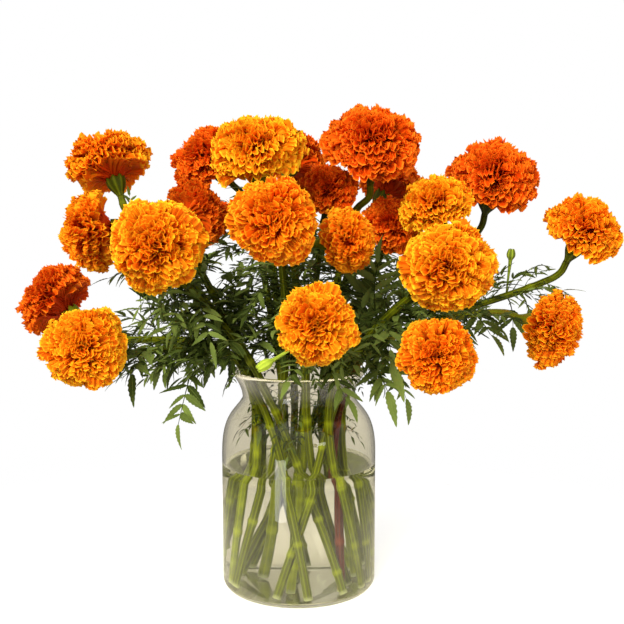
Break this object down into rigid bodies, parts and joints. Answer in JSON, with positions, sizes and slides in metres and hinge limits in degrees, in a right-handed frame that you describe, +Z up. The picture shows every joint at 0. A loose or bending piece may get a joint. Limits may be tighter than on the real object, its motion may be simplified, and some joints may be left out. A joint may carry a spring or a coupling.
{
  "type": "marigold bouquet in a glass vase",
  "caption": "Round orange marigold heads on crossing green stems with feathery leaves and buds, standing in water in a clear shouldered glass vase.",
  "frame": {"origin": "middle of the vase's flat foot, where it stands", "axes": "+Z up, +X to the right of the show side, -Y towards the viewer of the show side"},
  "size_m": [0.4982, 0.2745, 0.3987],
  "materials": {
    "clear_glass": "clear, polished",
    "water": "clear still water",
    "stem_green": "fresh green stem, finely ridged, satin",
    "stem_maroon": "reddish brown stem, satin",
    "petals_golden": "ruffled golden orange petals, soft matte",
    "petals_orange": "ruffled orange petals, soft matte",
    "petals_red_orange": "ruffled deep red-orange petals, soft matte",
    "leaf_green": "dark green leaf, matte with a faint sheen",
    "bud_green": "lime green bud, matte"
  },
  "bodies": {
    "root": {"vase": "clear_glass", "water": "water", "stem_01": "stem_green", "head_01": "petals_orange", "stem_02": "stem_green", "head_02": "petals_orange", "stem_03": "stem_green", "head_03": "petals_red_orange", "stem_04": "stem_green", "head_04": "petals_golden", "stem_05": "stem_green", "head_05": "petals_golden", "stem_06": "stem_green", "head_06": "petals_red_orange", "stem_07": "stem_green", "head_07": "petals_red_orange", "stem_08": "stem_green", "head_08": "petals_golden", "stem_09": "stem_green", "head_09": "petals_red_orange", "stem_10": "stem_green", "head_10": "petals_orange", "stem_11": "stem_green", "head_11": "petals_orange", "stem_12": "stem_green", "head_12": "petals_red_orange", "stem_13": "stem_green", "head_13": "petals_red_orange", "stem_14": "stem_green", "head_14": "petals_red_orange", "stem_15": "stem_green", "head_15": "petals_red_orange", "stem_16": "stem_green", "head_16": "petals_golden", "stem_17": "stem_green", "head_17": "petals_golden", "stem_18": "stem_green", "head_18": "petals_red_orange", "stem_19": "stem_green", "head_19": "petals_orange", "stem_20": "stem_maroon", "head_20": "petals_orange", "stem_21": "stem_green", "head_21": "petals_orange", "stem_22": "stem_green", "head_22": "petals_golden", "bud_hanging": "bud_green", "bud_right": "bud_green", "leaf_01": "leaf_green", "leaf_02": "leaf_green", "leaf_03": "leaf_green", "leaf_04": "leaf_green", "leaf_05": "leaf_green", "leaf_06": "leaf_green", "leaf_07": "leaf_green", "leaf_08": "leaf_green", "leaf_09": "leaf_green", "leaf_10": "leaf_green", "leaf_11": "leaf_green", "leaf_12": "leaf_green"}
  },
  "joints": []
}
